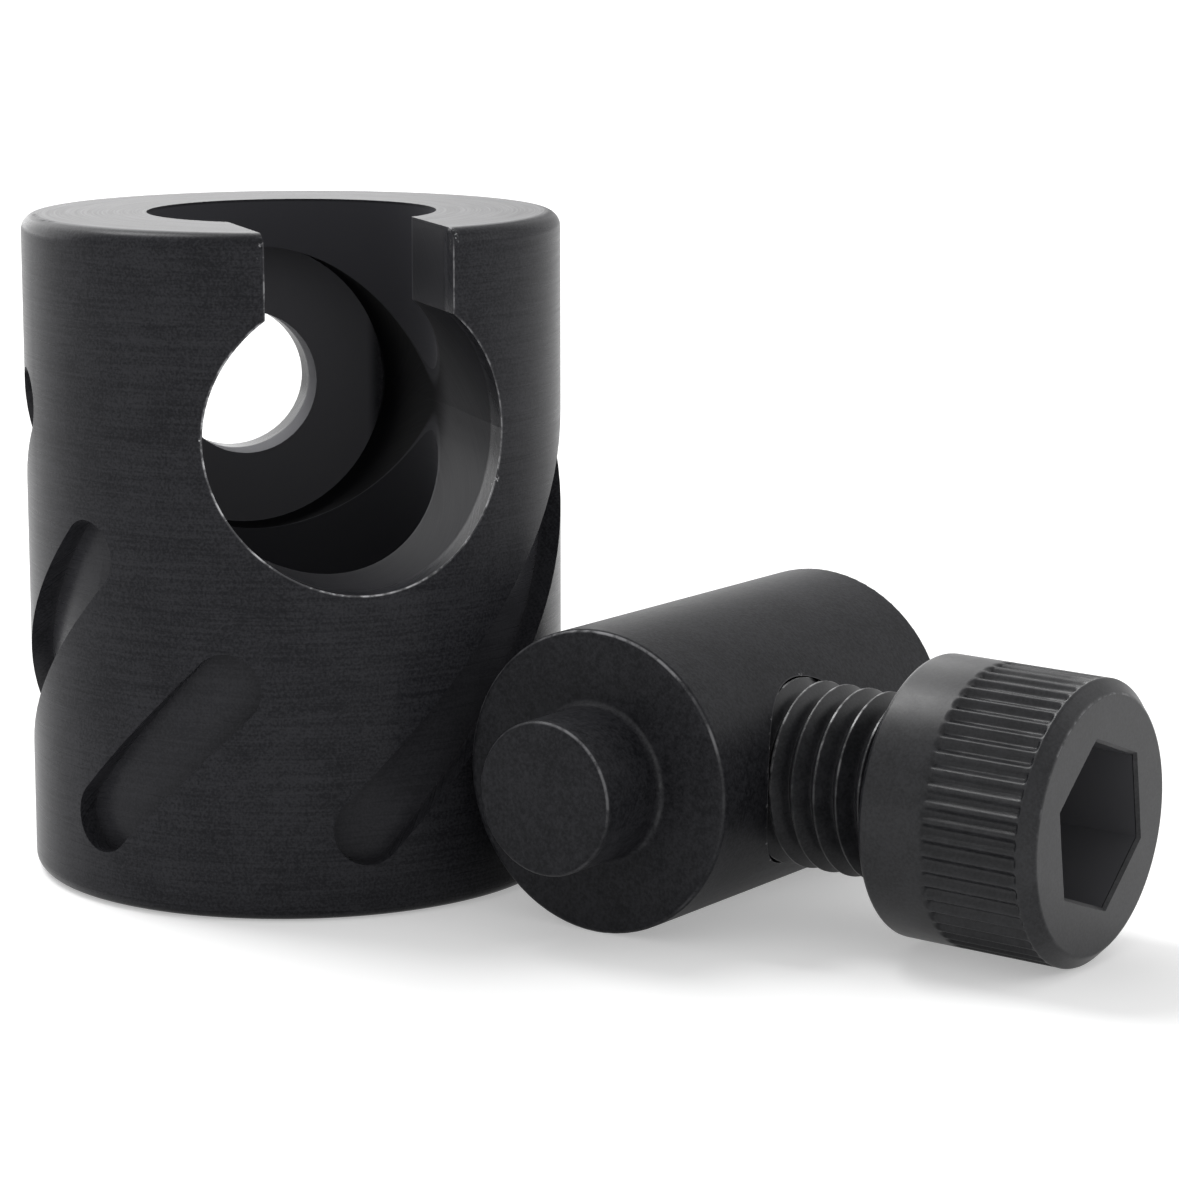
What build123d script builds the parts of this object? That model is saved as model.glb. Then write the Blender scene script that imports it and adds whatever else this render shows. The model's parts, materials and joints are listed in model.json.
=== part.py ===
from build123d import *
import os
from math import asin, atan2, cos, degrees, hypot, pi, radians, sin, tan

# Cross-barrel coupling, taken apart: a fluted hub stands at the origin, and the barrel that
# locks into it lies beside it with its cap screw part way in. Millimetres, +Z up.
# The origin is the centre of the hub's base, and the hub's keyhole faces -Y.

# Fluted hub
hub_diameter = 23.6
hub_height = 29.1
hub_edge_round = 0.7
shaft_bore_diameter = 12.7
cross_bore_diameter = 13.0
cross_bore_height = 20.45
cross_bore_floor = 8.6  # from the hub's axis to the flat floor of the cross bore
slot_width = 8.1
stub_hole_diameter = 6.6

# Flutes milled round the hub, each rising to the right with round ends
flute_width = 3.1
flute_depth = 1.0
flute_slope = 44.0
flute_start_height = 3.9
end_overcut = 0.02  # the round ends are this much wider, so their sides don't run along the cut's
# angle of each flute's lower end from the keyhole's middle, and how far round it runs
flute_runs = [(0, 86), (60, 86), (120, 50), (180, 86), (240, 56.5), (300, 30.5)]

# Cross barrel
barrel_diameter = 12.9
barrel_length = 17.9
barrel_edge_round = 0.25
stub_diameter = 6.5
stub_length = 3.7
stub_edge_round = 0.25
stub_root_round = 0.3
screw_from_face = 7.3  # from the barrel's stub face to the screw's axis

# Where the barrel lies: the middle of its stub face, and the way from there to its plain end
barrel_face_x = 8.25
barrel_face_y = -16.95
barrel_heading = 36.0

# Cap screw, 5/16-24 UNF by 1/2 inch
inch = 25.4
thread_diameter = 0.311 * inch
thread_pitch = inch / 24
screw_length = 0.5 * inch
head_diameter = 0.468 * inch
head_height = 0.312 * inch
hex_width = 0.25 * inch
hex_depth = 0.151 * inch
head_face_chamfer = 0.55
head_under_round = 0.3
screw_exposed = 5.4  # thread showing between the barrel and the head
thread_clearance = 0.05  # radial, in the barrel's hole
knurl_count = 54
knurl_depth = 0.22
knurl_start = 0.36 * head_height  # from the head's underside
knurl_end = 0.925 * head_height
knurl_half = 0.24  # half a groove's width at the crest
knurl_over = 0.05
hex_turn = 41.0
hex_point_depth = 1.2
hex_point_taper = 62.0
rim_gap = 0.02  # between the head's rim and the ground

hub_radius = hub_diameter / 2
barrel_radius = barrel_diameter / 2
thread_radius = thread_diameter / 2
head_radius = head_diameter / 2
thread_depth = 0.6134 * thread_pitch
root_radius = thread_radius - thread_depth
root_half = thread_pitch / 16
groove_half = thread_pitch * 7 / 16
thread_grooves = round(screw_length / thread_pitch) - 1
point_radius = root_radius - 0.15
point_length = thread_radius - point_radius

os.makedirs("parts", exist_ok=True)


def skin_plane(angle, height):
    # touches the hub's skin: its normal points outwards
    turn = radians(angle - 90)
    outwards = Vector(cos(turn), sin(turn), 0)
    return Plane(
        origin=outwards * hub_radius + Vector(0, 0, height),
        x_dir=Vector(-sin(turn), cos(turn), 0),
        z_dir=outwards,
    )


def helix_on(plane, pitch, rise, radius):
    # a right-hand helix about the plane's normal, which starts on its x axis
    return plane.location * Helix(pitch, rise, radius, mode=Mode.PRIVATE)


def section_plane(plane, path):
    # square to the start of such a helix, with its x axis pointing outwards
    return Plane(origin=path @ 0, x_dir=plane.x_dir, z_dir=path % 0)


with BuildPart() as fluted_hub:
    with BuildSketch(Plane.XY):
        Circle(hub_radius)
    extrude(amount=hub_height)
    fillet(fluted_hub.edges().filter_by(GeomType.CIRCLE), radius=hub_edge_round)
    # shaft bore, right through
    with BuildSketch(Plane.XY):
        Circle(shaft_bore_diameter / 2)
    extrude(amount=hub_height, mode=Mode.SUBTRACT)
    # keyhole: the cross bore, and the slot that opens it to the top
    keyhole_plane = Plane(origin=(0, cross_bore_floor, 0), x_dir=(1, 0, 0), z_dir=(0, -1, 0))
    with BuildSketch(keyhole_plane):
        with Locations((0, cross_bore_height)):
            Circle(cross_bore_diameter / 2)
    extrude(amount=cross_bore_floor + hub_radius, mode=Mode.SUBTRACT)
    slot_height = hub_height - cross_bore_height
    with BuildSketch(Plane(origin=(0, 0, 0), x_dir=(1, 0, 0), z_dir=(0, -1, 0))):
        with Locations((0, cross_bore_height + slot_height / 2)):
            Rectangle(slot_width, slot_height)
    extrude(amount=hub_radius, mode=Mode.SUBTRACT)
    # hole for the barrel's stub, through the back wall
    with BuildSketch(keyhole_plane):
        with Locations((0, cross_bore_height)):
            Circle(stub_hole_diameter / 2)
    extrude(amount=-hub_radius, mode=Mode.SUBTRACT)
    # flutes: a helical cut with an end-mill round at each end
    flute_pitch = 2 * pi * hub_radius * tan(radians(flute_slope))
    for start, run in flute_runs:
        rise = flute_pitch * run / 360
        turn = radians(start - 90)
        base = Plane(
            origin=(0, 0, flute_start_height),
            x_dir=(cos(turn), sin(turn), 0),
            z_dir=(0, 0, 1),
        )
        flute_path = helix_on(base, flute_pitch, rise, hub_radius)
        with BuildSketch(section_plane(base, flute_path)):
            Rectangle(2 * flute_depth, flute_width - end_overcut)
        sweep(path=flute_path, is_frenet=True, mode=Mode.SUBTRACT)
        for angle, height in ((start, 0), (start + run, rise)):
            with BuildSketch(skin_plane(angle, flute_start_height + height)):
                Circle(flute_width / 2)
            extrude(amount=flute_depth, both=True, mode=Mode.SUBTRACT)

# The barrel lies level on the ground. Its screw sticks out sideways, and dips until the rim of
# the head comes down to the ground too.
along = Vector(cos(radians(barrel_heading)), sin(radians(barrel_heading)), 0)
sideways = Vector(sin(radians(barrel_heading)), -cos(radians(barrel_heading)), 0)
face_middle = Vector(barrel_face_x, barrel_face_y, barrel_radius)
to_rim = barrel_radius + screw_exposed + head_height - head_face_chamfer
rim_angle = degrees(atan2(head_radius, to_rim))
dip = degrees(asin((barrel_radius - rim_gap) / hypot(to_rim, head_radius))) - rim_angle
screw_way = sideways * cos(radians(dip)) - Vector(0, 0, sin(radians(dip)))
screw_middle = face_middle + along * screw_from_face
face_plane = Plane(origin=face_middle, x_dir=sideways, z_dir=along)
hole_plane = Plane(origin=screw_middle, x_dir=along, z_dir=screw_way)
head_plane = hole_plane.offset(barrel_radius + screw_exposed)

with BuildPart() as cross_barrel:
    with BuildSketch(face_plane):
        Circle(barrel_radius)
    extrude(amount=barrel_length)
    fillet(cross_barrel.edges().filter_by(GeomType.CIRCLE), radius=barrel_edge_round)
    with BuildSketch(face_plane):
        Circle(stub_diameter / 2)
    extrude(amount=-stub_length)
    stub_rings = cross_barrel.edges().filter_by(GeomType.CIRCLE)
    stub_rings = stub_rings.filter_by(lambda ring: abs(ring.radius - stub_diameter / 2) < 0.01)
    stub_rings = stub_rings.sort_by(Axis(face_middle, along))
    fillet(stub_rings.first, radius=stub_edge_round)
    stub_root = cross_barrel.edges().filter_by(GeomType.CIRCLE)
    stub_root = stub_root.filter_by(lambda ring: abs(ring.radius - stub_diameter / 2) < 0.01)
    fillet(stub_root.sort_by(Axis(face_middle, along)).last, radius=stub_root_round)
    # hole for the screw, right through
    with BuildSketch(hole_plane):
        Circle(thread_radius + thread_clearance)
    extrude(amount=barrel_diameter, both=True, mode=Mode.SUBTRACT)

with BuildPart() as cap_screw:
    with BuildSketch(head_plane):
        Circle(head_radius)
    extrude(amount=head_height)
    head_rings = cap_screw.edges().filter_by(GeomType.CIRCLE).sort_by(Axis(screw_middle, screw_way))
    chamfer(head_rings.last, length=head_face_chamfer)
    head_rings = cap_screw.edges().filter_by(GeomType.CIRCLE).sort_by(Axis(screw_middle, screw_way))
    fillet(head_rings.first, radius=head_under_round)
    # knurl: straight V grooves round the head
    with BuildSketch(head_plane.offset(knurl_start)):
        with PolarLocations(head_radius, knurl_count):
            Polygon(
                (knurl_over, knurl_half + knurl_over),
                (-knurl_depth, 0),
                (knurl_over, -knurl_half - knurl_over),
                align=None,
            )
    extrude(amount=knurl_end - knurl_start, mode=Mode.SUBTRACT)
    # hex socket with a drilled point
    with BuildSketch(head_plane.offset(head_height)):
        RegularPolygon(hex_width / 2, 6, major_radius=False, rotation=hex_turn)
    extrude(amount=-hex_depth, mode=Mode.SUBTRACT)
    with BuildSketch(head_plane.offset(head_height - hex_depth)):
        Circle(hex_width / 2)
    extrude(amount=-hex_point_depth, taper=hex_point_taper, mode=Mode.SUBTRACT)
    # shank, with the thread's crests and roots as rings
    shank_points = [(0, 0), (thread_radius, 0)]
    for groove in range(thread_grooves):
        middle = -(groove + 0.5) * thread_pitch
        shank_points += [
            (thread_radius, middle + groove_half),
            (root_radius, middle + root_half),
            (root_radius, middle - root_half),
            (thread_radius, middle - groove_half),
        ]
    shank_points += [
        (thread_radius, point_length - screw_length),
        (point_radius, -screw_length),
        (0, -screw_length),
    ]
    shank_plane = Plane(
        origin=head_plane.origin,
        x_dir=head_plane.x_dir,
        z_dir=head_plane.x_dir.cross(head_plane.z_dir),
    )
    with BuildSketch(shank_plane):
        Polygon(*shank_points, align=None)
    revolve(axis=Axis(screw_middle, screw_way))

for piece, name in ((fluted_hub, "fluted_hub"), (cross_barrel, "cross_barrel"), (cap_screw, "cap_screw")):
    piece.part.label = name
    export_step(piece.part, f"parts/{name}.step")
    print(name, round(piece.part.volume, 2), "mm3")
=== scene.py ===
import json
from math import cos, pi, radians, sin

import bmesh
import bpy
from mathutils import Matrix, Vector


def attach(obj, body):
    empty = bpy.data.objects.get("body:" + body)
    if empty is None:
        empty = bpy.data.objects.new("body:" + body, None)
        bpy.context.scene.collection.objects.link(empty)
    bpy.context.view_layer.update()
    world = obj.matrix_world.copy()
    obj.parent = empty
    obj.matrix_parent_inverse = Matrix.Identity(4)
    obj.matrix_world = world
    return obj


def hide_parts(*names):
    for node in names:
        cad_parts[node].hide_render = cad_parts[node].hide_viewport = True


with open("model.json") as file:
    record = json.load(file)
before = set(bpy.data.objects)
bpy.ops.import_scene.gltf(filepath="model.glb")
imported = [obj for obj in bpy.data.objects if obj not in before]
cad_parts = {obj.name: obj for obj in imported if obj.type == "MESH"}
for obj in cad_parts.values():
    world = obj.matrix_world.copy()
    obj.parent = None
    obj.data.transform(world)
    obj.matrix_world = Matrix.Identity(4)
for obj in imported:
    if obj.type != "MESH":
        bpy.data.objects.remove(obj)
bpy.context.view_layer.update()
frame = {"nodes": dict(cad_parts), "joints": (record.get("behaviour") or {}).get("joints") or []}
nodes = frame["nodes"]
joints = {joint["name"]: joint for joint in frame["joints"]}
scene = bpy.context.scene
scene.view_settings.view_transform = "Standard"
mm = 0.001
inch = 25.4 * mm
print("frame loaded:", sorted(nodes))


# Helpers that write a material as sums. A value in them is a node's output or a plain number.

def newMaterial(name):
    material = bpy.data.materials.new(name)
    material.use_nodes = True
    tree = material.node_tree
    tree.nodes.clear()
    out = tree.nodes.new("ShaderNodeOutputMaterial")
    return material, tree, out


def addNode(tree, kind, **values):
    # each value goes to the input socket of its name
    node = tree.nodes.new(kind)
    for socket, value in values.items():
        node.inputs[socket].default_value = value
    return node


def feed(tree, value, socket):
    if isinstance(value, (int, float)):
        socket.default_value = value
    else:
        tree.links.new(value, socket)


def calc(tree, operation, a, b=0.0):
    node = tree.nodes.new("ShaderNodeMath")
    node.operation = operation
    feed(tree, a, node.inputs[0])
    feed(tree, b, node.inputs[1])
    return node.outputs[0]


def plus(tree, total, *values):
    for value in values:
        total = calc(tree, "ADD", total, value)
    return total


def times(tree, product, *values):
    for value in values:
        product = calc(tree, "MULTIPLY", product, value)
    return product


def shifted(tree, value, by):
    # how far a value is from a number
    return calc(tree, "ABSOLUTE", calc(tree, "SUBTRACT", value, by))


def hypotenuse(tree, a, b):
    return calc(tree, "SQRT", plus(tree, times(tree, a, a), times(tree, b, b)))


def ramp(tree, value, low, high, outLow=0.0, outHigh=1.0):
    # a smooth step from low to high
    node = tree.nodes.new("ShaderNodeMapRange")
    node.interpolation_type = "SMOOTHSTEP"
    feed(tree, value, node.inputs["Value"])
    ends = {"From Min": low, "From Max": high, "To Min": outLow, "To Max": outHigh}
    for socket, number in ends.items():
        node.inputs[socket].default_value = number
    return node.outputs["Result"]


def noise(tree, vector, scale, detail, roughness):
    node = addNode(tree, "ShaderNodeTexNoise", Scale=scale, Detail=detail, Roughness=roughness)
    tree.links.new(vector, node.inputs["Vector"])
    return node.outputs["Fac"]


def mottled(tree, noises, look):
    # 0 to 1 from several noises, each with its share
    total = plus(tree, *(times(tree, value, share) for value, share in zip(noises, look["shares"])))
    return ramp(tree, total, *look["span"])


def patched(tree, place, look):
    # a noise, stepped up over its span
    return ramp(tree, noise(tree, place, *look["noise"]), *look["span"])


def splitAxes(tree, vector):
    node = tree.nodes.new("ShaderNodeSeparateXYZ")
    tree.links.new(vector, node.inputs[0])
    return node.outputs


def joined(tree, x, y, z):
    node = tree.nodes.new("ShaderNodeCombineXYZ")
    for socket, value in zip(node.inputs, (x, y, z)):
        feed(tree, value, socket)
    return node.outputs[0]


def vectorCalc(tree, operation, a, b=None):
    # b is a fixed vector
    node = tree.nodes.new("ShaderNodeVectorMath")
    node.operation = operation
    tree.links.new(a, node.inputs[0])
    if b is not None:
        node.inputs[1].default_value = b
    return node.outputs


def fromLine(tree, place, point, direction):
    # distance along a line from its point, and distance from the line
    offset = vectorCalc(tree, "SUBTRACT", place, point)["Vector"]
    whole = vectorCalc(tree, "LENGTH", offset)["Value"]
    run = vectorCalc(tree, "DOT_PRODUCT", offset, direction)["Value"]
    away = calc(tree, "SUBTRACT", times(tree, whole, whole), times(tree, run, run))
    return run, calc(tree, "SQRT", calc(tree, "MAXIMUM", away, 0.0))


def mixColour(tree, share, low, high):
    node = tree.nodes.new("ShaderNodeMix")
    node.data_type = "RGBA"
    feed(tree, share, node.inputs["Factor"])
    for socket, colour in ((node.inputs[6], low), (node.inputs[7], high)):
        if isinstance(colour, tuple):
            socket.default_value = (*colour, 1.0)
        else:
            tree.links.new(colour, socket)
    return node.outputs[2]


def bumped(tree, heights, bumps):
    # one bump on top of another, each as (height, strength)
    normal = None
    for value, (height, strength) in zip(heights, bumps):
        node = addNode(tree, "ShaderNodeBump", Distance=height, Strength=strength)
        tree.links.new(value, node.inputs["Height"])
        if normal is not None:
            tree.links.new(normal, node.inputs["Normal"])
        normal = node.outputs["Normal"]
    return normal


def steelShader(tree, out, specular, colour, rough, metal, normal):
    shader = tree.nodes.new("ShaderNodeBsdfPrincipled")
    shader.inputs["Specular IOR Level"].default_value = specular
    tree.links.new(colour, shader.inputs["Base Color"])
    tree.links.new(rough, shader.inputs["Roughness"])
    tree.links.new(metal, shader.inputs["Metallic"])
    tree.links.new(normal, shader.inputs["Normal"])
    tree.links.new(shader.outputs[0], out.inputs["Surface"])


def dress(name, material):
    # gives a piece from the frame its finish
    mesh = nodes[name].data
    mesh.materials.clear()
    mesh.materials.append(material)


def wayOf(azimuth, elevation):
    # unit vector that points from the origin towards those angles, in degrees
    turn, lift = radians(azimuth), radians(elevation)
    return Vector((sin(turn) * cos(lift), -cos(turn) * cos(lift), sin(lift)))


camera = {
    "azimuth": -18.86,
    "elevation": 10.36,
    "distance": 172.4 * mm,
    "aimRight": 13.08 * mm,
    "aimUp": 12.17 * mm,
    "lens": 117.74,
    "sensor": 36.0,
    "clip": (5 * mm, 20.0),
}


def placeCamera(c):
    turn = radians(c["azimuth"])
    back = wayOf(c["azimuth"], c["elevation"])
    right = Vector((cos(turn), sin(turn), 0))
    up = back.cross(right)
    aim = right * c["aimRight"] + Vector((0, 0, c["aimUp"]))
    data = bpy.data.cameras.new("studioCamera")
    data.lens = c["lens"]
    data.sensor_width = c["sensor"]
    data.clip_start, data.clip_end = c["clip"]
    obj = bpy.data.objects.new("studioCamera", data)
    scene.collection.objects.link(obj)
    matrix = Matrix((right, up, back)).transposed().to_4x4()
    matrix.translation = aim + back * c["distance"]
    obj.matrix_world = matrix
    scene.camera = obj


placeCamera(camera)
print("camera placed")


studio = {
    "floorHalf": 6.0,
    "floorColour": (0.80, 0.80, 0.80),
    "floorGlow": 0.35,  # lifts the floor to white where nothing shades it
    "surroundLight": 0.64,
    # where each lamp shines from, how wide its disc is, both in degrees, and its strength
    "lamps": {
        "backPanel": {"azimuth": -164, "elevation": 20, "width": 72, "strength": 2.05},
        "backLeftPanel": {"azimuth": -150, "elevation": 55, "width": 22, "strength": 1.3},
        "rightPanel": {"azimuth": 74, "elevation": 24, "width": 40, "strength": 0.38},
    },
}


def seenDirectly(tree):
    # 1 where the camera sees the surface straight, in a shiny face or through a clear one
    path = tree.nodes.new("ShaderNodeLightPath")
    seen = calc(tree, "MAXIMUM", path.outputs["Is Camera Ray"], path.outputs["Is Glossy Ray"])
    return calc(tree, "MAXIMUM", seen, path.outputs["Is Transmission Ray"])


def buildSurround(s):
    # plain white where it is seen, and dimmer where it lights the pieces
    world = bpy.data.worlds.new("whiteSurround")
    world.use_nodes = True
    tree = world.node_tree
    tree.nodes.clear()
    out = tree.nodes.new("ShaderNodeOutputWorld")
    white = (1, 1, 1, 1)
    lighting = addNode(tree, "ShaderNodeBackground", Color=white, Strength=s["surroundLight"])
    shown = addNode(tree, "ShaderNodeBackground", Color=white, Strength=1.0)
    mix = tree.nodes.new("ShaderNodeMixShader")
    tree.links.new(seenDirectly(tree), mix.inputs[0])
    tree.links.new(lighting.outputs[0], mix.inputs[1])
    tree.links.new(shown.outputs[0], mix.inputs[2])
    tree.links.new(mix.outputs[0], out.inputs[0])
    scene.world = world


def buildFloor(s):
    material, tree, out = newMaterial("paleFloor")
    diffuse = addNode(tree, "ShaderNodeBsdfDiffuse", Color=(*s["floorColour"], 1))
    glow = tree.nodes.new("ShaderNodeEmission")
    tree.links.new(times(tree, seenDirectly(tree), s["floorGlow"]), glow.inputs["Strength"])
    total = tree.nodes.new("ShaderNodeAddShader")
    tree.links.new(diffuse.outputs[0], total.inputs[0])
    tree.links.new(glow.outputs[0], total.inputs[1])
    tree.links.new(total.outputs[0], out.inputs["Surface"])
    half = s["floorHalf"]
    corners = [(-half, -half, 0), (half, -half, 0), (half, half, 0), (-half, half, 0)]
    mesh = bpy.data.meshes.new("floor")
    mesh.from_pydata(corners, [], [(0, 1, 2, 3)])
    floor = bpy.data.objects.new("floor", mesh)
    mesh.materials.append(material)
    scene.collection.objects.link(floor)


def addLamp(name, lamp):
    data = bpy.data.lights.new(name, "SUN")
    data.angle = radians(lamp["width"])
    data.energy = lamp["strength"]
    obj = bpy.data.objects.new(name, data)
    away = wayOf(lamp["azimuth"], lamp["elevation"])
    obj.rotation_euler = away.to_track_quat("Z", "Y").to_euler()
    scene.collection.objects.link(obj)


buildSurround(studio)
buildFloor(studio)
for lampName, lampLook in studio["lamps"].items():
    addLamp(lampName, lampLook)
print("studio ready")


# Hub: turned black steel, with a bright worn line round the keyhole. Each noise in the pieces'
# dictionaries is its scale, its detail and its roughness.
hub = {
    "radius": 11.8 * mm,
    "height": 29.1 * mm,
    "boreRadius": 6.35 * mm,
    "crossRadius": 6.5 * mm,
    "crossHeight": 20.45 * mm,
    "crossFloor": 8.6 * mm,
    "slotHalf": 4.05 * mm,
    "slotMeets": (4.9 * mm, 5.2 * mm),  # over the cross bore's axis, where the slot takes over
    "fluteFloor": 10.8 * mm,
    # each finish fades in or out between these two distances from its surface
    "borders": {
        "flute": (0.05 * mm, 0.30 * mm),
        "inside": (0.5 * mm, 0.1 * mm),  # further in than the flutes' floors
        "top": (0.15 * mm, 0.05 * mm),
        "bore": (0.06 * mm, 0.14 * mm),
        "floor": (0.10 * mm, 0.04 * mm),
    },
    "keyholeFront": (-4 * mm, -3 * mm),  # along y, where the worn line ends
    "halfway": (-2.5 * mm, 0.5 * mm),  # along y, where the bores' grey turns to black
    "black": (0.0125, 0.0127, 0.0150),
    "blackLight": (0.0320, 0.0322, 0.0362),
    # painted light: a lighter grey for the flutes' floors, offsetting their shade
    "fluteFloorPaintedLight": (0.050, 0.050, 0.055),
    "paintedFluteLightShare": 0.35,
    "wallGrey": (0.018, 0.018, 0.021),
    # painted shade: near black for the back half of the bores
    "saddlePaintedShade": (0.004, 0.004, 0.005),
    # painted light: lighter greys for the shaft bore's wall and the cross bore's floor
    "borePaintedLight": (0.046, 0.046, 0.052),
    "crossFloorPaintedLight": (0.120, 0.120, 0.130),
    "brightMetal": (0.42, 0.42, 0.43),
    "marks": (190.0, 7400.0, 3.0, 0.6),  # scale round the hub and across it, detail, roughness
    "fineMarks": (260.0, 14000.0, 2.0, 0.6),
    "cloud": (420.0, 4.0, 0.6),
    "grain": (9000.0, 2.0, 0.6),
    "mottle": {"shares": (0.30, 0.2, 0.50), "span": (0.38, 0.62)},  # of marks, cloud and grain
    "lineWidth": 0.10 * mm,
    "lineGaps": {"noise": (1100.0, 4.0, 0.7), "span": (0.42, 0.60)},
    "lineShares": (0.15, 0.75),  # of the line's brightness: everywhere, and more outside its gaps
    "lineFades": (-9 * mm, 8 * mm, 1.0, 0.45),  # brightest low on the left
    "specks": {"noise": (3600.0, 3.0, 0.7), "span": (0.56, 0.64)},
    "burrReach": (0.1 * mm, 0.32 * mm),  # from the keyhole's edge
    # bright burrs: x, y, z and size in mm
    "burrs": (
        (-4.05, -10.9, 28.3, 0.75),
        (4.3, -10.8, 28.75, 0.8),
        (-6.45, -9.9, 20.6, 0.5),
        (6.1, -10.1, 18.2, 0.6),
    ),
    # least, and what the fine marks, the top face, the bores and the bores' back halves add
    "rough": {"least": 0.22, "marks": 0.14, "top": 0.09, "bores": 0.16, "back": 0.26},
    "bumps": ((0.012 * mm, 0.22), (0.006 * mm, 0.25), (0.004 * mm, 0.25)),  # marks, fine marks, grain
    "metal": 0.9,  # of the worn steel
    "specular": 0.07,
}


def turningMarks(tree, x, y, across, look):
    # rings that are long round the axis and very short across it
    roundScale, acrossScale, detail, roughness = look
    flat = (times(tree, axis, roundScale) for axis in (x, y))
    return noise(tree, joined(tree, *flat, times(tree, across, acrossScale)), 1.0, detail, roughness)


def keyholeWear(tree, h, place, x, y, z, fromAxis):
    # how bright the keyhole's edge is where it meets the skin, with gaps and burrs
    wide = h["lineWidth"]
    onSkin = ramp(tree, shifted(tree, fromAxis, h["radius"]), 0.3 * wide, wide, 1.0, 0.0)
    inFront = ramp(tree, y, *h["keyholeFront"], 1.0, 0.0)
    meets = [h["crossHeight"] + up for up in h["slotMeets"]]
    fromCross = hypotenuse(tree, x, calc(tree, "SUBTRACT", z, h["crossHeight"]))
    ringOff = shifted(tree, fromCross, h["crossRadius"])
    ring = ramp(tree, ringOff, 0.3 * wide, wide, 1.0, 0.0)
    ring = times(tree, ring, ramp(tree, z, *meets, 1.0, 0.0))
    sideOff = shifted(tree, calc(tree, "ABSOLUTE", x), h["slotHalf"])
    side = ramp(tree, sideOff, 0.2 * wide, 0.8 * wide, 1.0, 0.0)
    side = times(tree, side, ramp(tree, z, *meets))
    edge = times(tree, calc(tree, "MAXIMUM", ring, side), onSkin, inFront)
    broken = patched(tree, place, h["lineGaps"])
    low, high, bright, dim = h["lineFades"]
    strong = ramp(tree, plus(tree, x, z), h["crossHeight"] + low, h["crossHeight"] + high, bright, dim)
    least, more = h["lineShares"]
    brightShare = times(tree, edge, plus(tree, times(tree, broken, more), least), strong)
    speck = patched(tree, place, h["specks"])
    nearEdge = ramp(tree, calc(tree, "MINIMUM", ringOff, sideOff), *h["burrReach"], 1.0, 0.0)
    for *spot, size in h["burrs"]:
        off = vectorCalc(tree, "DISTANCE", place, [value * mm for value in spot])["Value"]
        near = ramp(tree, off, 0.2 * size * mm, size * mm, 1.0, 0.0)
        brightShare = calc(tree, "MAXIMUM", brightShare, times(tree, near, nearEdge, speck))
    return brightShare


def hubMaterial(h):
    material, tree, out = newMaterial("turnedBlackSteel")
    place = tree.nodes.new("ShaderNodeTexCoord").outputs["Object"]
    x, y, z = splitAxes(tree, place)
    fromAxis = hypotenuse(tree, x, y)
    across = plus(tree, z, fromAxis)
    marks = turningMarks(tree, x, y, across, h["marks"])
    fineMarks = turningMarks(tree, x, y, across, h["fineMarks"])
    cloud = noise(tree, place, *h["cloud"])
    grain = noise(tree, place, *h["grain"])
    shade = mottled(tree, (marks, cloud, grain), h["mottle"])
    black = mixColour(tree, shade, h["black"], h["blackLight"])
    # painted light: the flutes' floors are painted a little lighter than the skin, offsetting the
    # shade that falls in them
    border = h["borders"]
    offFlute = shifted(tree, fromAxis, h["fluteFloor"])
    inFlute = ramp(tree, offFlute, *border["flute"], h["paintedFluteLightShare"], 0.0)
    black = mixColour(tree, inFlute, black, h["fluteFloorPaintedLight"])
    # bored and milled surfaces further in than the flutes are duller, but not the top face
    milled = ramp(tree, fromAxis, *(h["fluteFloor"] - gap for gap in border["inside"]), 1.0, 0.0)
    onTop = ramp(tree, z, *(h["height"] - gap for gap in border["top"]))
    dull = times(tree, milled, calc(tree, "SUBTRACT", 1.0, onTop))
    # the front half of these surfaces is plain grey, and the back half is painted near black as
    # painted shade
    front = times(tree, ramp(tree, y, *h["halfway"], 1.0, 0.0), dull)
    back = times(tree, calc(tree, "SUBTRACT", 1.0, front), dull)
    black = mixColour(tree, front, black, h["wallGrey"])
    black = mixColour(tree, back, black, h["saddlePaintedShade"])
    # painted light: the shaft bore's wall and the cross bore's flat floor are painted a lighter grey,
    # for the light that reaches into the bores
    onBore = ramp(tree, shifted(tree, fromAxis, h["boreRadius"]), *border["bore"], 1.0, 0.0)
    black = mixColour(tree, times(tree, onBore, dull), black, h["borePaintedLight"])
    onFloor = ramp(tree, y, *(h["crossFloor"] - gap for gap in border["floor"]))
    black = mixColour(tree, times(tree, onFloor, dull), black, h["crossFloorPaintedLight"])
    brightShare = keyholeWear(tree, h, place, x, y, z, fromAxis)
    colour = mixColour(tree, brightShare, black, h["brightMetal"])
    look = h["rough"]
    rough = plus(
        tree, times(tree, fineMarks, look["marks"]), look["least"], times(tree, onTop, look["top"]),
        times(tree, dull, look["bores"]), times(tree, back, look["back"])
    )
    normal = bumped(tree, (marks, fineMarks, grain), h["bumps"])
    steelShader(tree, out, h["specular"], colour, rough, times(tree, brightShare, h["metal"]), normal)
    return material


dress("fluted_hub", hubMaterial(hub))
print("hub dressed")


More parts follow.
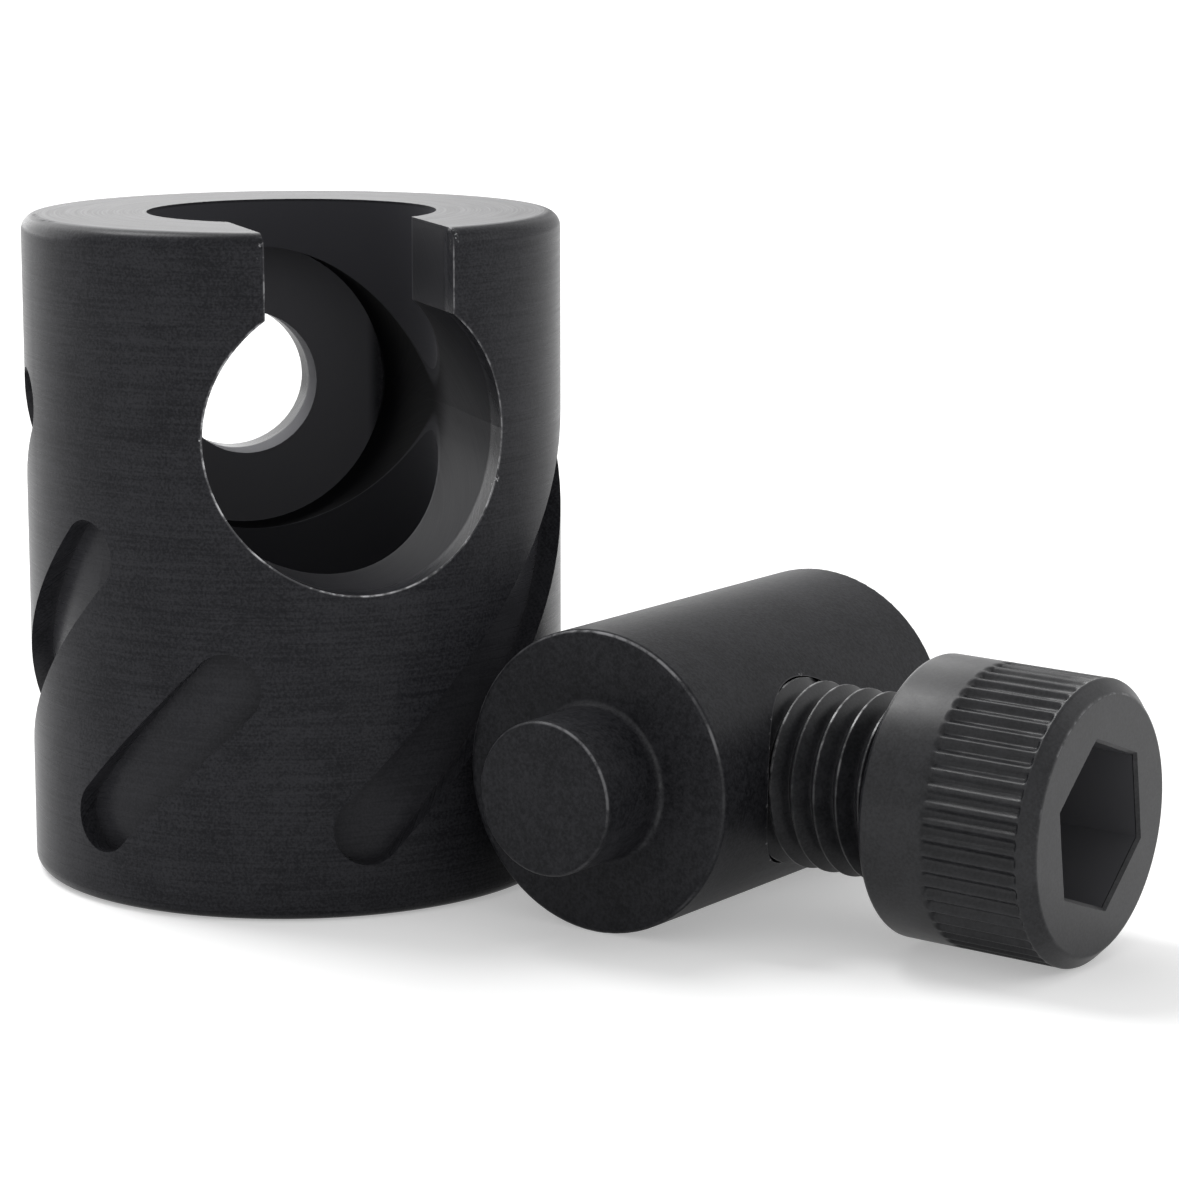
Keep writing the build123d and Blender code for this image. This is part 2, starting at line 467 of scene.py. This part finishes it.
# Cap screw: its sizes stand before the barrel, because the barrel's hole uses its axis.
screw = {
    "threadRadius": 0.311 * inch / 2,
    "pitch": inch / 24,
    "length": 0.5 * inch,
    "threadDepth": 0.6134,  # share of the pitch
    "threadPhase": -0.12,  # share of a pitch
    "threadRunOut": 0.6,  # share of a pitch over which the thread fades below the head
    "tipBreak": 0.15 * mm,
    "threadColumns": 144,
    "headRadius": 0.468 * inch / 2,
    "headHeight": 0.312 * inch,
    "faceChamfer": 0.55 * mm,
    "underRound": 0.3 * mm,
    "knurls": 54,
    "knurlDepth": 0.22 * mm,
    "knurlStart": 0.36,  # shares of the head's height
    "knurlEnd": 0.925,
    "knurlRun": 0.22 * mm,  # over which each groove runs out
    "knurlRound": 0.85,  # below 1 makes the grooves wider than the crests
    "knurlWear": 0.50,
    "columnsPerKnurl": 16,
    "mouthBreak": 0.14 * mm,  # small chamfer at the socket's mouth
    "hexWidth": 0.25 * inch,
    "hexDepth": 0.151 * inch,
    "hexTurn": 41.0,
    "smoothBelow": 38.0,  # edges that turn by fewer degrees are smooth
    "black": (0.0050, 0.0052, 0.0064),
    "blackLight": (0.0185, 0.0187, 0.0212),
    "socketGrey": (0.078, 0.078, 0.084),
    "brightMetal": (0.34, 0.34, 0.345),
    "patches": (1500.0, 4.0, 0.65),
    "patchSpan": (0.44, 0.62),
    "grain": (8000.0, 2.0, 0.6),
    "cloud": (500.0, 4.0, 0.6),
    "mottle": {"shares": (0.25, 0.3, 0.45), "span": (0.36, 0.64)},  # of cloud, patches and grain
    "wearShares": (0.05, 0.46),  # of the wear's brightness: everywhere, and more in the patches
    # painted light: the wear is painted brighter towards the top
    "paintedTopLightRises": (5.5 * mm, 9.5 * mm, 0.12, 1.0),  # from these heights, and its shares there
    "rough": (0.30, 0.16),  # least, and what the patches add
    "bumps": ((0.006 * mm, 0.3), (0.01 * mm, 0.2)),  # grain and patches
    "metal": 0.9,  # of the worn steel
    "specular": 0.28,
}


def screwAxes():
    # the screw's own axes from the joints, and the middle of its head's underside from its node
    way = -Vector(joints["screw_run"]["axis"]).normalized()
    along = -Vector(joints["barrel_slide"]["axis"]).normalized()
    side = way.cross(along).normalized()
    points = [v.co for v in nodes["cap_screw"].data.vertices]
    spans = [[p.dot(d) for p in points] for d in (along, side, way)]
    middle = [(min(s) + max(s)) / 2 for s in spans[:2]]
    underHead = max(spans[2]) - screw["headHeight"]
    return along, side, way, along * middle[0] + side * middle[1] + way * underHead


# Barrel: black steel, finely blasted.
barrel = {
    "radius": 6.45 * mm,
    "stubLength": 3.7 * mm,
    "holeRadius": 4.0 * mm,
    # each finish fades in or out between these two distances from its surface
    "borders": {
        "wall": (0.01 * mm, 0.05 * mm),
        "mouth": (0.03 * mm, 0.16 * mm),
        "skin": (0.15 * mm, 0.05 * mm),
    },
    "black": (0.0065, 0.0067, 0.0082),
    "blackLight": (0.0250, 0.0252, 0.0285),
    # painted light: a lighter grey for the wall of the screw's hole
    "holePaintedLight": (0.060, 0.060, 0.064),
    # bright metal, for the painted rim highlights and the mouth's specks
    "brightMetal": (0.30, 0.30, 0.31),
    "grain": (7000.0, 3.0, 0.65),
    "pits": (2600.0, 3.0, 0.6),
    "cloud": (380.0, 4.0, 0.6),
    "mottle": {"shares": (0.3, 0.2, 0.5), "span": (0.36, 0.64)},  # of pits, cloud and grain
    # painted highlights along the rims: in mm from the stub's face plane and from the axis, how wide,
    # and how strong
    "rims": (
        (0.09, 6.36, 0.09, 0.65),
        (-3.60, 3.17, 0.09, 0.5),
        (-0.10, 3.42, 0.13, 0.4),
        (17.82, 6.37, 0.09, 0.4),
    ),
    "rimGaps": {"noise": (900.0, 4.0, 0.7), "span": (0.38, 0.60)},
    "rimPatches": {"noise": (260.0, 2.0, 0.5), "span": (0.44, 0.57, 0.10, 1.0)},
    "rimShares": (0.12, 0.9),  # of a rim's brightness: everywhere, and more outside its gaps
    # painted light: the rims' highlights are painted brighter towards the top
    "paintedRimTopLightRises": (4 * mm, 9 * mm, 0.25, 1.0),  # from these heights, and its shares there
    "specks": {"noise": (2400.0, 3.0, 0.7), "span": (0.55, 0.66)},
    "speckShare": 0.8,
    "rough": (0.43, 0.14),  # least, and what the pits add
    "bumps": ((0.016 * mm, 0.45), (0.02 * mm, 0.25)),  # grain and pits
    "metal": 0.8,  # of the bright metal: the painted rim highlights and the mouth's specks
    "specular": 0.12,
}


def barrelAxes():
    # the barrel's own axis from its joint, and the middle of its stub face from its node
    along = -Vector(joints["barrel_slide"]["axis"]).normalized()
    side = along.cross(Vector((0, 0, 1))).normalized()
    points = [v.co for v in nodes["cross_barrel"].data.vertices]
    across = [p.dot(side) for p in points]
    height = [p.z for p in points]
    start = min(p.dot(along) for p in points) + barrel["stubLength"]
    middle = side * ((min(across) + max(across)) / 2)
    middle += Vector((0, 0, (min(height) + max(height)) / 2))
    return along, middle + along * start


def paintedRimHighlights(tree, b, place, run, away):
    # painted highlights along the rims, with gaps, and painted brighter towards the top
    broken = times(tree, patched(tree, place, b["rimGaps"]), patched(tree, place, b["rimPatches"]))
    paintedTopLight = ramp(tree, splitAxes(tree, place)[2], *b["paintedRimTopLightRises"])
    brightShare = 0.0
    for at, radius, width, strength in b["rims"]:
        offRun = calc(tree, "SUBTRACT", run, at * mm)
        off = hypotenuse(tree, offRun, calc(tree, "SUBTRACT", away, radius * mm))
        line = ramp(tree, off, 0.25 * width * mm, width * mm, strength, 0.0)
        brightShare = calc(tree, "MAXIMUM", brightShare, line)
    least, more = b["rimShares"]
    return times(tree, brightShare, plus(tree, times(tree, broken, more), least), paintedTopLight)


def barrelMaterial(b):
    material, tree, out = newMaterial("blastedBlackSteel")
    place = tree.nodes.new("ShaderNodeTexCoord").outputs["Object"]
    along, faceMiddle = barrelAxes()
    run, away = fromLine(tree, place, faceMiddle, along)
    grain = noise(tree, place, *b["grain"])
    pits = noise(tree, place, *b["pits"])
    cloud = noise(tree, place, *b["cloud"])
    shade = mottled(tree, (pits, cloud, grain), b["mottle"])
    black = mixColour(tree, shade, b["black"], b["blackLight"])
    # painted light: the wall of the screw's hole is painted a lighter grey, lifting the shade in the
    # gap round the thread, with bright specks at its mouth
    screwWay, underHead = screwAxes()[2:]
    offHole = shifted(tree, fromLine(tree, place, underHead, screwWay)[1], b["holeRadius"])
    border = b["borders"]
    black = mixColour(tree, ramp(tree, offHole, *border["wall"], 1.0, 0.0), black, b["holePaintedLight"])
    onSkin = ramp(tree, away, *(b["radius"] - gap for gap in border["skin"]))
    mouth = times(tree, ramp(tree, offHole, *border["mouth"], 1.0, 0.0), onSkin)
    speck = times(tree, mouth, patched(tree, place, b["specks"]), b["speckShare"])
    brightShare = calc(tree, "MAXIMUM", paintedRimHighlights(tree, b, place, run, away), speck)
    colour = mixColour(tree, brightShare, black, b["brightMetal"])
    least, more = b["rough"]
    rough = plus(tree, times(tree, pits, more), least)
    normal = bumped(tree, (grain, pits), b["bumps"])
    steelShader(tree, out, b["specular"], colour, rough, times(tree, brightShare, b["metal"]), normal)
    return material


dress("cross_barrel", barrelMaterial(barrel))
print("barrel dressed")


def hexReach(angle, halfWidth):
    # distance from the axis to the hex's wall
    step = (angle % (pi / 3)) - pi / 6
    return halfWidth / cos(step)


def underHeadRound(radius, size, steps):
    # points of the quarter round under the head, as (distance from the axis, height)
    turns = [-pi / 2 + pi / 2 * i / steps for i in range(steps + 1)]
    return [(radius - size + size * cos(a), size + size * sin(a)) for a in turns]


def headRings(s):
    # each ring is a function of the angle from a hex corner: (distance from the axis, height, wear),
    # where a wear of -1 marks the inside of the socket
    top, radius = s["headHeight"], s["headRadius"]
    rings = []

    def plain(r, z, wear=0.0):
        rings.append(lambda a: (r, z, wear))

    def groove(a):
        # a smooth wave, 0 on the crest and 1 at the bottom
        phase = (a * s["knurls"] / (2 * pi)) % 1.0
        return (0.5 - 0.5 * cos(2 * pi * phase)) ** s["knurlRound"]

    def knurled(z, share):
        def ring(a):
            depth = groove(a) * share
            wear = s["knurlWear"] * share * max(0.0, 1 - 4 * depth)
            return radius - s["knurlDepth"] * depth, z, wear
        rings.append(ring)

    def hexed(out, z, wear):
        rings.append(lambda a: (hexReach(a, half) + out, z, wear))

    # underside
    plain(s["threadRadius"] - 0.05 * mm, 0.0)
    plain(s["threadRadius"] + 0.4 * mm, 0.0)
    plain(radius - s["underRound"] - 0.5 * mm, 0.0)
    for i, (r, z) in enumerate(underHeadRound(radius, s["underRound"], 6)):
        plain(r, z, 0.35 if 1 < i < 5 else 0.0)
    # knurl, which runs in and out smoothly
    low, high, run = s["knurlStart"] * top, s["knurlEnd"] * top, s["knurlRun"]
    runIn = [i / 4 for i in range(5)]
    plain(radius, low - 0.12 * mm)
    for share in runIn:
        knurled(low + run * share, share * share * (3 - 2 * share))
    for i in range(1, 4):
        knurled(low + run + (high - low - 2 * run) * i / 4, 1.0)
    for share in reversed(runIn):
        knurled(high - run * share, share * share * (3 - 2 * share))
    # chamfer on to the flat face: each turn is a tight round between two holding rings
    size = s["faceChamfer"]
    for inwards, down, wear in (
        (0.0, size + 0.02 * mm, 0.2),
        (0.02 * mm, size - 0.04 * mm, 0.3),
        (0.09 * mm, size - 0.10 * mm, 0.0),
        (size - 0.10 * mm, 0.09 * mm, 0.0),
        (size - 0.03 * mm, 0.03 * mm, 0.55),
        (size + 0.03 * mm, 0.0, 0.75),
        (size + 0.10 * mm, 0.0, 0.0),
    ):
        plain(radius - inwards, top - down, wear)
    # the socket's mouth, with a small broken edge, then its wall, floor and the drill's point
    half = s["hexWidth"] / 2
    mouth = s["mouthBreak"]
    deep = top - s["hexDepth"]
    plain(half / cos(pi / 6) + 0.6 * mm, top)
    hexed(mouth + 0.02 * mm, top, 0.1)
    hexed(mouth, top, 0.45)
    hexed(0.0, top - mouth, 0.45)
    hexed(0.0, top - (mouth + 0.05 * mm), -1.0)
    hexed(0.0, deep, -1.0)
    plain(half * 0.97, deep, -1.0)
    plain(half * 0.5, deep - half * 0.25, -1.0)
    plain(0.02 * mm, deep - half * 0.52, -1.0)
    return rings


def addHead(s, verts, wears, faces):
    count = s["knurls"] * s["columnsPerKnurl"]
    rings = headRings(s)
    first = len(verts)
    for ring in rings:
        for i in range(count):
            a = 2 * pi * i / count
            r, z, wear = ring(a)
            t = a + radians(s["hexTurn"])
            verts.append((r * cos(t), r * sin(t), z))
            wears.append(wear)
    for k in range(len(rings) - 1):
        for i in range(count):
            j = (i + 1) % count
            a, b = first + k * count, first + (k + 1) * count
            faces.append((a + i, a + j, b + j, b + i))
    last = first + (len(rings) - 1) * count
    faces.append(tuple(last + i for i in range(count)))


def threadProfile(depth):
    # one pitch as (share of the pitch, depth, wear); the root is rounded
    return [
        (0.0, 0.06 * depth, 0.3), (0.03, 0.0, 1.0), (0.10, 0.0, 1.0), (0.13, 0.06 * depth, 0.3),
        (0.27, 0.36 * depth, 0.05), (0.42, 0.70 * depth, 0.0), (0.50, 0.92 * depth, 0.0),
        (0.565, depth, 0.0), (0.63, 0.92 * depth, 0.0), (0.71, 0.70 * depth, 0.0),
        (0.86, 0.36 * depth, 0.05),
    ]


def tipRadius(s):
    return s["threadRadius"] - s["threadDepth"] * s["pitch"] - s["tipBreak"]


def addThread(s, verts, wears, faces):
    # rows of points that each climb one pitch in a turn
    pitch, count = s["pitch"], s["threadColumns"]
    profile = threadProfile(s["threadDepth"] * pitch)
    step = len(profile)
    low = -s["length"]
    rows = (int(s["length"] / pitch) + 3) * step + 1
    first = len(verts)
    for k in range(rows):
        share, depth, wear = profile[k % step]
        for i in range(count):
            # the rows start beyond the tip, and points past the tip or the head move to its flat end
            z = low + (k // step + share + i / count + s["threadPhase"] - 1.5) * pitch
            fade = min(1.0, max(0.0, -z / (s["threadRunOut"] * pitch)))
            r = min(s["threadRadius"] - depth * fade, tipRadius(s) + max(0.0, z - low))
            if z <= low:
                z, r, wear = low, tipRadius(s), 0.0
            if z >= 0.0:
                z, r, wear = 0.0, s["threadRadius"], 0.0
            a = 2 * pi * i / count
            verts.append((r * cos(a), r * sin(a), z))
            wears.append(wear * fade)
    for k in range(rows - 1):
        a, b = first + k * count, first + (k + 1) * count
        for i in range(count - 1):
            faces.append((a + i, a + i + 1, b + i + 1, b + i))
    for k in range(rows - 1 - step):
        # where a turn closes, it meets the row one pitch further on
        a, b = first + k * count, first + (k + 1) * count
        faces.append((a + count - 1, a + step * count, b + step * count, b + count - 1))


def addTip(s, verts, wears, faces):
    # closes the thread's end with a flat face
    count = s["threadColumns"]
    first = len(verts)
    for r in (tipRadius(s), tipRadius(s) * 0.6):
        for i in range(count):
            a = 2 * pi * i / count
            verts.append((r * cos(a), r * sin(a), -s["length"]))
            wears.append(0.0)
    for i in range(count):
        j = (i + 1) % count
        faces.append((first + j, first + i, first + count + i, first + count + j))
    faces.append(tuple(first + count + i for i in reversed(range(count))))


def screwMaterial(s):
    material, tree, out = newMaterial("screwBlackOxide")
    place = tree.nodes.new("ShaderNodeTexCoord").outputs["Object"]
    wearMap = tree.nodes.new("ShaderNodeAttribute")
    wearMap.attribute_name = "wear"
    wear = wearMap.outputs["Fac"]
    patches = noise(tree, place, *s["patches"])
    grain = noise(tree, place, *s["grain"])
    cloud = noise(tree, place, *s["cloud"])
    broken = ramp(tree, patches, *s["patchSpan"])
    # painted light: the wear is painted brighter towards the top
    paintedTopLight = ramp(tree, splitAxes(tree, place)[2], *s["paintedTopLightRises"])
    least, more = s["wearShares"]
    brightShare = times(tree, ramp(tree, wear, 0.3, 1.0), plus(tree, times(tree, broken, more), least), paintedTopLight)
    shade = mottled(tree, (cloud, patches, grain), s["mottle"])
    black = mixColour(tree, shade, s["black"], s["blackLight"])
    black = mixColour(tree, ramp(tree, wear, -1.0, -0.5, 1.0, 0.0), black, s["socketGrey"])
    colour = mixColour(tree, brightShare, black, s["brightMetal"])
    least, more = s["rough"]
    rough = plus(tree, times(tree, patches, more), least)
    normal = bumped(tree, (grain, patches), s["bumps"])
    steelShader(tree, out, s["specular"], colour, rough, times(tree, brightShare, s["metal"]), normal)
    return material


def weld(mesh, distance):
    # merges points that lie together and drops faces with no area
    work = bmesh.new()
    work.from_mesh(mesh)
    bmesh.ops.remove_doubles(work, verts=work.verts, dist=distance)
    bmesh.ops.dissolve_degenerate(work, edges=work.edges, dist=distance / 10)
    bmesh.ops.recalc_face_normals(work, faces=work.faces)
    work.to_mesh(mesh)
    work.free()


def buildScrew(s):
    # helical thread, knurled head and hex socket in one mesh
    along, side, way, origin = screwAxes()
    verts, wears, faces = [], [], []
    addHead(s, verts, wears, faces)
    addThread(s, verts, wears, faces)
    addTip(s, verts, wears, faces)
    mesh = bpy.data.meshes.new("capScrewBody")
    mesh.from_pydata([origin + along * x + side * y + way * z for x, y, z in verts], [], faces)
    attribute = mesh.attributes.new("wear", "FLOAT", "POINT")
    attribute.data.foreach_set("value", wears)
    mesh.materials.append(screwMaterial(s))
    obj = bpy.data.objects.new("capScrewBody", mesh)
    scene.collection.objects.link(obj)
    weld(mesh, 0.002 * mm)
    mesh.shade_smooth()
    mesh.set_sharp_from_angle(angle=radians(s["smoothBelow"]))
    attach(obj, "screw")
    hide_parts("cap_screw")


buildScrew(screw)
print("cap screw built")
